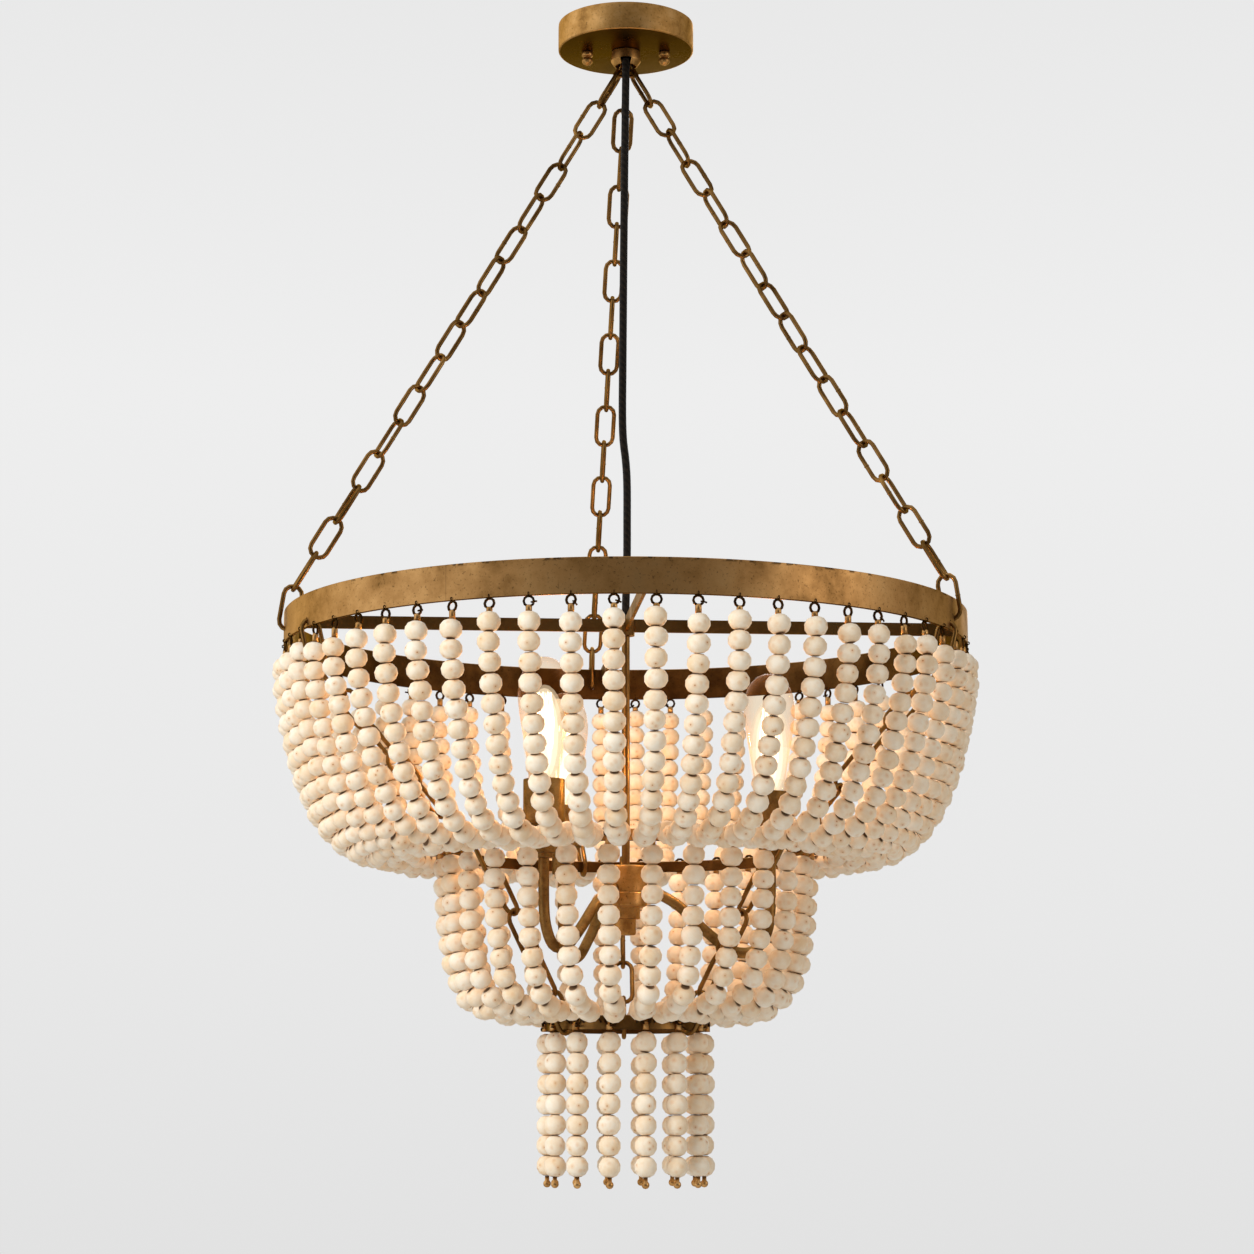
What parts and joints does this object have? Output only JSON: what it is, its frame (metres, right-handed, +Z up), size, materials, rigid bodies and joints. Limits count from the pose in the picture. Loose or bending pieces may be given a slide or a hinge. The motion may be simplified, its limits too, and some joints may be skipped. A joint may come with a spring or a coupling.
{
  "type": "beaded chandelier",
  "caption": "Chandelier hung on link chains: tiered brass rings joined by curved strands of wooden beads round upturned lamps on arms, with loose bead strands below.",
  "frame": {"origin": "centre of the canopy's rim, in the plane of the ceiling", "axes": "+Z up into the ceiling, -Y towards the viewer, +X to the viewer's right"},
  "size_m": [0.6276, 0.6276, 1.06],
  "materials": {
    "brass": "antique, mottled patina",
    "dark_brass": "dark antique",
    "lamp_cap": "satin",
    "bead": "whitewashed, matt",
    "bulb_glass": "clear",
    "insulator": "dark, matt",
    "cord": "black sleeve"
  },
  "bodies": {
    "ceiling": {"canopy": "brass", "crossbar": "brass", "canopy_nut_left": "brass", "canopy_nut_right": "brass", "collar": "brass"},
    "hanger": {"hanger_ring": "dark_brass"},
    "frame": {"suspension_chain_left": "dark_brass", "suspension_chain_back": "dark_brass", "suspension_chain_right": "dark_brass", "supply_cord": "cord", "upper_ring": "brass", "cross_straps": "dark_brass", "stem": "dark_brass", "hub": "brass", "lamp_arm_1": "brass", "lamp_cup_1": "brass", "lamp_insert_1": "insulator", "lamp_arm_2": "brass", "lamp_cup_2": "brass", "lamp_insert_2": "insulator", "lamp_arm_3": "brass", "lamp_cup_3": "brass", "lamp_insert_3": "insulator", "middle_ring": "dark_brass", "lower_ring": "dark_brass", "upper_tie_chain_left": "dark_brass", "lower_tie_chain_left": "dark_brass", "upper_tie_chain_back": "dark_brass", "lower_tie_chain_back": "dark_brass", "upper_tie_chain_right": "dark_brass", "lower_tie_chain_right": "dark_brass", "upper_strands_1": "bead", "upper_strands_2": "bead", "upper_strands_3": "bead", "upper_strands_4": "bead", "middle_strands_1": "bead", "middle_strands_2": "bead", "middle_strands_3": "bead", "middle_strands_4": "bead"},
    "bulb_1": {"bulb_base_1": "lamp_cap", "bulb_glass_1": "bulb_glass"},
    "bulb_2": {"bulb_base_2": "lamp_cap", "bulb_glass_2": "bulb_glass"},
    "bulb_3": {"bulb_base_3": "lamp_cap", "bulb_glass_3": "bulb_glass"},
    "loose_strand_01": {"loose_strand_01": "bead"},
    "loose_strand_02": {"loose_strand_02": "bead"},
    "loose_strand_03": {"loose_strand_03": "bead"},
    "loose_strand_04": {"loose_strand_04": "bead"},
    "loose_strand_05": {"loose_strand_05": "bead"},
    "loose_strand_06": {"loose_strand_06": "bead"},
    "loose_strand_07": {"loose_strand_07": "bead"},
    "loose_strand_08": {"loose_strand_08": "bead"},
    "loose_strand_09": {"loose_strand_09": "bead"},
    "loose_strand_10": {"loose_strand_10": "bead"},
    "loose_strand_11": {"loose_strand_11": "bead"},
    "loose_strand_12": {"loose_strand_12": "bead"},
    "loose_strand_13": {"loose_strand_13": "bead"},
    "loose_strand_14": {"loose_strand_14": "bead"}
  },
  "joints": [
    {"name": "hanger_swing", "type": "hinge", "parent": "ceiling", "child": "hanger", "pos_m": [0, 0, -0.032], "axis": [0, 1, 0], "range_deg": [-5, 5]},
    {"name": "frame_swing", "type": "hinge", "parent": "hanger", "child": "frame", "pos_m": [0, 0, -0.0485], "axis": [1, 0, 0], "range_deg": [-5, 5]},
    {"name": "bulb_1_out", "type": "slide", "parent": "frame", "child": "bulb_1", "axis": [0, 0, 1], "range_m": [0, 0.03]},
    {"name": "bulb_2_out", "type": "slide", "parent": "frame", "child": "bulb_2", "axis": [0, 0, 1], "range_m": [0, 0.03]},
    {"name": "bulb_3_out", "type": "slide", "parent": "frame", "child": "bulb_3", "axis": [0, 0, 1], "range_m": [0, 0.03]},
    {"name": "loose_strand_01_swing", "type": "hinge", "parent": "frame", "child": "loose_strand_01", "pos_m": [-0.01362, -0.06713, -0.9258], "axis": [-0.98, 0.1988, 0], "range_deg": [-8, 18]},
    {"name": "loose_strand_02_swing", "type": "hinge", "parent": "frame", "child": "loose_strand_02", "pos_m": [0.01686, -0.06639, -0.9258], "axis": [-0.9692, -0.2461, 0], "range_deg": [-8, 18]},
    {"name": "loose_strand_03_swing", "type": "hinge", "parent": "frame", "child": "loose_strand_03", "pos_m": [0.04399, -0.05251, -0.9258], "axis": [-0.7665, -0.6423, 0], "range_deg": [-8, 18]},
    {"name": "loose_strand_04_swing", "type": "hinge", "parent": "frame", "child": "loose_strand_04", "pos_m": [0.06242, -0.02822, -0.9258], "axis": [-0.4119, -0.9112, 0], "range_deg": [-8, 18]},
    {"name": "loose_strand_05_swing", "type": "hinge", "parent": "frame", "child": "loose_strand_05", "pos_m": [0.06848, 0.00166, -0.9258], "axis": [0.0242, -0.9997, 0], "range_deg": [-8, 18]},
    {"name": "loose_strand_06_swing", "type": "hinge", "parent": "frame", "child": "loose_strand_06", "pos_m": [0.06098, 0.03121, -0.9258], "axis": [0.4556, -0.8902, 0], "range_deg": [-8, 18]},
    {"name": "loose_strand_07_swing", "type": "hinge", "parent": "frame", "child": "loose_strand_07", "pos_m": [0.0414, 0.05457, -0.9258], "axis": [0.7967, -0.6044, 0], "range_deg": [-8, 18]},
    {"name": "loose_strand_08_swing", "type": "hinge", "parent": "frame", "child": "loose_strand_08", "pos_m": [0.01362, 0.06713, -0.9258], "axis": [0.98, -0.1988, 0], "range_deg": [-8, 18]},
    {"name": "loose_strand_09_swing", "type": "hinge", "parent": "frame", "child": "loose_strand_09", "pos_m": [-0.01686, 0.06639, -0.9258], "axis": [0.9692, 0.2461, 0], "range_deg": [-8, 18]},
    {"name": "loose_strand_10_swing", "type": "hinge", "parent": "frame", "child": "loose_strand_10", "pos_m": [-0.04399, 0.05251, -0.9258], "axis": [0.7665, 0.6423, 0], "range_deg": [-8, 18]},
    {"name": "loose_strand_11_swing", "type": "hinge", "parent": "frame", "child": "loose_strand_11", "pos_m": [-0.06242, 0.02822, -0.9258], "axis": [0.4119, 0.9112, 0], "range_deg": [-8, 18]},
    {"name": "loose_strand_12_swing", "type": "hinge", "parent": "frame", "child": "loose_strand_12", "pos_m": [-0.06848, -0.00166, -0.9258], "axis": [-0.0242, 0.9997, 0], "range_deg": [-8, 18]},
    {"name": "loose_strand_13_swing", "type": "hinge", "parent": "frame", "child": "loose_strand_13", "pos_m": [-0.06098, -0.03121, -0.9258], "axis": [-0.4556, 0.8902, 0], "range_deg": [-8, 18]},
    {"name": "loose_strand_14_swing", "type": "hinge", "parent": "frame", "child": "loose_strand_14", "pos_m": [-0.0414, -0.05457, -0.9258], "axis": [-0.7967, 0.6044, 0], "range_deg": [-8, 18]}
  ]
}
